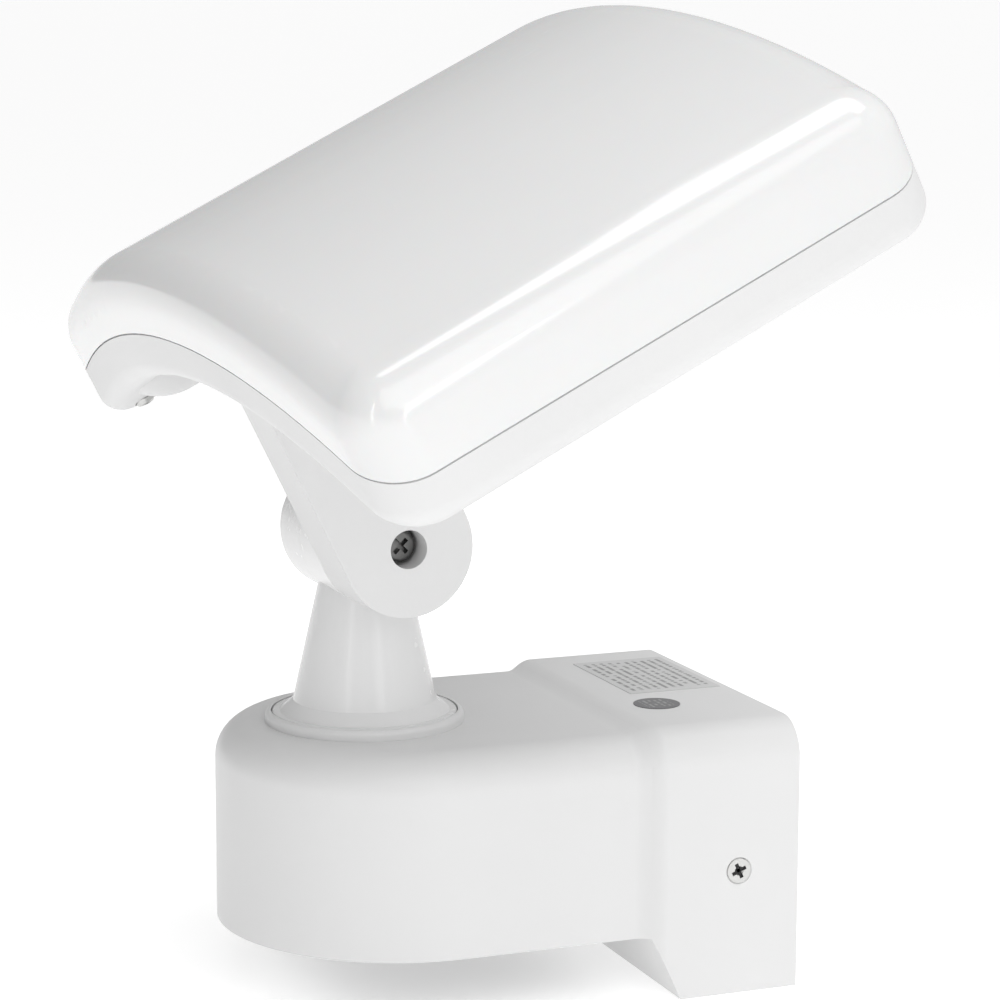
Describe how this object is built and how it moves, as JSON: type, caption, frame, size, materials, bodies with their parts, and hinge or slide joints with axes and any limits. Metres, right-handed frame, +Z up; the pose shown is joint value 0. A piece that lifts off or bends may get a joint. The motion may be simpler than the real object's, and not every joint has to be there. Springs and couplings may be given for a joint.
{
  "type": "solar flood light",
  "caption": "Wall flood light: box base with solar panel underneath, swivelling neck, and arched glossy head on a tilting side hinge.",
  "frame": {"origin": "middle of the wall bracket's back face, on the wall plane", "axes": "X along the wall, +Y into the wall, +Z up; the light stands out from the wall towards -Y"},
  "size_m": [0.2358, 0.1693, 0.2615],
  "materials": {
    "case": "satin white moulded plastic",
    "stem": "semi-gloss white moulded plastic",
    "tray": "fine textured white moulded plastic",
    "diffuser": "glossy opal white cover",
    "glass": "clear tempered glass",
    "silicon": "dark blue solar cell",
    "backing": "black back sheet",
    "battery": "shrink sleeve",
    "dark_plastic": "black moulded plastic",
    "spring_metal": "nickel plated",
    "circuit": "green solder mask",
    "circuit_white": "white solder mask on aluminium",
    "components": "black mouldings",
    "steel": "zinc plated",
    "screw": "zinc plated",
    "label": "grey print film",
    "sticker": "dark grey foil",
    "nylon": "natural nylon",
    "seal": "grey silicone",
    "reflector": "white painted sheet",
    "led": "yellow phosphor"
  },
  "bodies": {
    "base": {"base_housing": "case", "bottom_cover": "case", "cover_seal": "seal", "bottom_cover_screws": "screw", "solar_glass": "glass", "solar_cells": "silicon", "panel_backing": "backing", "battery_cells": "battery", "battery_holder": "dark_plastic", "battery_contacts": "spring_metal", "controller_board": "circuit", "controller_components": "components", "board_screws": "screw", "wall_plate": "steel", "side_screws": "screw", "rating_label": "label", "round_sticker": "sticker", "neck_pad": "nylon"},
    "neck": {"neck_stem": "stem", "hinge_cap": "stem", "hinge_nut": "screw", "hinge_washer": "screw", "hinge_screw": "screw", "neck_washer": "steel", "neck_nut": "nylon"},
    "head": {"head_housing": "tray", "diffuser": "diffuser", "diffuser_seal": "seal", "reflector_plate": "reflector", "led_strips": "circuit_white", "leds": "led", "reflector_screws": "screw", "diffuser_screws": "screw"}
  },
  "joints": [
    {"name": "neck_swivel", "type": "hinge", "parent": "base", "child": "neck", "pos_m": [0, -0.1046, 0.0373], "axis": [0, 0, 1], "range_deg": [-75, 75]},
    {"name": "head_tilt", "type": "hinge", "parent": "neck", "child": "head", "pos_m": [0, -0.1046, 0.0859], "axis": [0.9988, 0.0488, 0], "range_deg": [-15, 70]}
  ]
}
